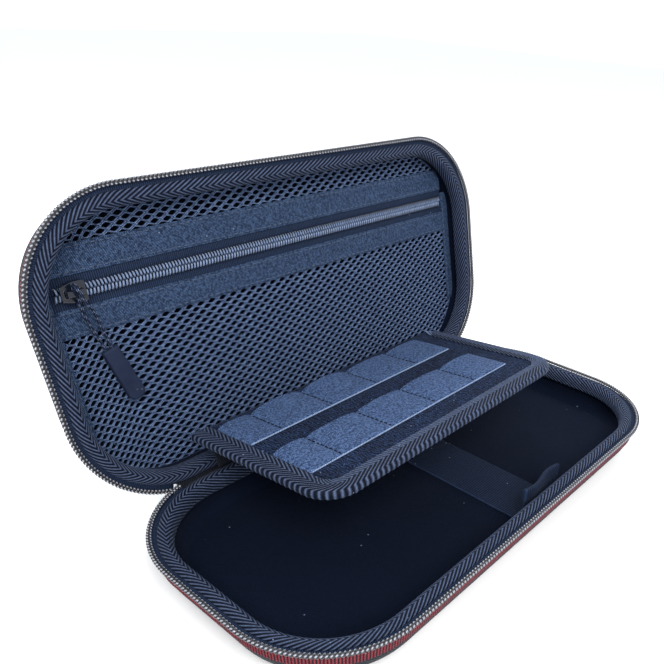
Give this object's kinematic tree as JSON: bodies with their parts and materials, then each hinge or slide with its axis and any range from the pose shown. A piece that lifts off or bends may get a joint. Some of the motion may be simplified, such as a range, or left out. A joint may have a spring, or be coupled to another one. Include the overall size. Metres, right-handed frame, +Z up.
{
  "type": "hard console case",
  "caption": "Open hard zip case with rounded corners, a zipped mesh pocket in the lid, a hinged card flap and a lift ribbon.",
  "frame": {"origin": "centre of the base's flat underside", "axes": "+X along the length, -Y the front, +Y the hinge side, +Z up"},
  "size_m": [0.262, 0.1762, 0.1413],
  "materials": {
    "shell": "dark cloth over a moulded foam shell",
    "lining": "soft near-black lining",
    "binding_tape": "herringbone tape, blue-grey ribs on navy",
    "zip_tape": "dark ribbed tape",
    "zip_teeth": "glossy coil teeth",
    "trim_band": "dark red and black woven band",
    "spine_cloth": "plain dark cloth",
    "mesh": "knitted mesh",
    "woven_band": "dense woven band with stitch rows",
    "slider_metal": "black gloss",
    "cord": "light grey braided cord",
    "grip_rubber": "flat slate rubber",
    "board": "stiff board",
    "velvet": "near-black navy velvet",
    "elastic": "slate twill elastic",
    "ribbon": "ribbed webbing"
  },
  "bodies": {
    "base": {"base_shell": "shell", "base_lining": "lining", "base_binding": "binding_tape", "base_zip_tape": "zip_tape", "base_zip_coil": "zip_teeth", "base_trim_band": "trim_band", "base_spine_strip": "spine_cloth", "lift_ribbon": "ribbon", "zip_tail_left": "zip_tape", "zip_tail_right": "zip_tape", "main_slider_left": "slider_metal", "main_slider_right": "slider_metal"},
    "lid": {"lid_shell": "shell", "lid_lining": "lining", "lid_binding": "binding_tape", "lid_zip_tape": "zip_tape", "lid_zip_coil": "zip_teeth", "lid_trim_band": "trim_band", "lid_spine_strip": "spine_cloth", "pocket_mesh_upper": "mesh", "pocket_mesh_lower": "mesh", "pocket_tape_upper": "zip_tape", "pocket_tape_lower": "zip_tape", "pocket_coil_upper": "zip_teeth", "pocket_coil_lower": "zip_teeth", "pocket_band_upper": "woven_band", "pocket_band_lower": "woven_band", "pocket_end_strip_left": "woven_band", "pocket_end_strip_right": "woven_band"},
    "pocket_slider": {"pocket_slider": "slider_metal"},
    "pocket_pull": {"pull_cord": "cord", "pull_grip": "grip_rubber"},
    "flap_neck": {"flap_neck": "spine_cloth"},
    "flap": {"flap_board": "board", "flap_face": "velvet", "flap_back": "velvet", "flap_binding": "binding_tape", "card_strip_back": "elastic", "card_strip_front": "elastic"},
    "zip_pull_left": {"main_pull_left": "slider_metal"},
    "zip_pull_right": {"main_pull_right": "slider_metal"}
  },
  "joints": [
    {"name": "lid_hinge", "type": "hinge", "parent": "base", "child": "lid", "pos_m": [0, 0.0619, 0.01755], "axis": [1, 0, 0], "range_deg": [-8, 100.65]},
    {"name": "pocket_zip_slide", "type": "slide", "parent": "lid", "child": "pocket_slider", "axis": [1, 0, 0], "range_m": [0, 0.196]},
    {"name": "pocket_pull_swing", "type": "hinge", "parent": "pocket_slider", "child": "pocket_pull", "pos_m": [-0.108, 0.09115, 0.10302], "axis": [0, -0.9828, 0.1848], "range_deg": [-20, 15]},
    {"name": "flap_neck_fold", "type": "hinge", "parent": "base", "child": "flap_neck", "pos_m": [0, 0.0605, 0.022], "axis": [1, 0, 0], "range_deg": [-8.82, 106.35]},
    {"name": "flap_fold", "type": "hinge", "parent": "flap_neck", "child": "flap", "pos_m": [0, 0.0655, 0.0395], "axis": [1, 0, 0], "range_deg": [-99.35, 8.27]},
    {"name": "zip_pull_left_swing", "type": "hinge", "parent": "base", "child": "zip_pull_left", "pos_m": [-0.084, 0.06657, 0.0074], "axis": [0, 0, 1], "range_deg": [0, 120]},
    {"name": "zip_pull_right_swing", "type": "hinge", "parent": "base", "child": "zip_pull_right", "pos_m": [0.084, 0.06657, 0.0074], "axis": [0, 0, -1], "range_deg": [0, 120]}
  ],
  "couplings": [
    {"joint": "flap_neck_fold", "follows": "lid_hinge", "ratio": 1.0527},
    {"joint": "flap_fold", "follows": "lid_hinge", "ratio": -0.98311}
  ]
}
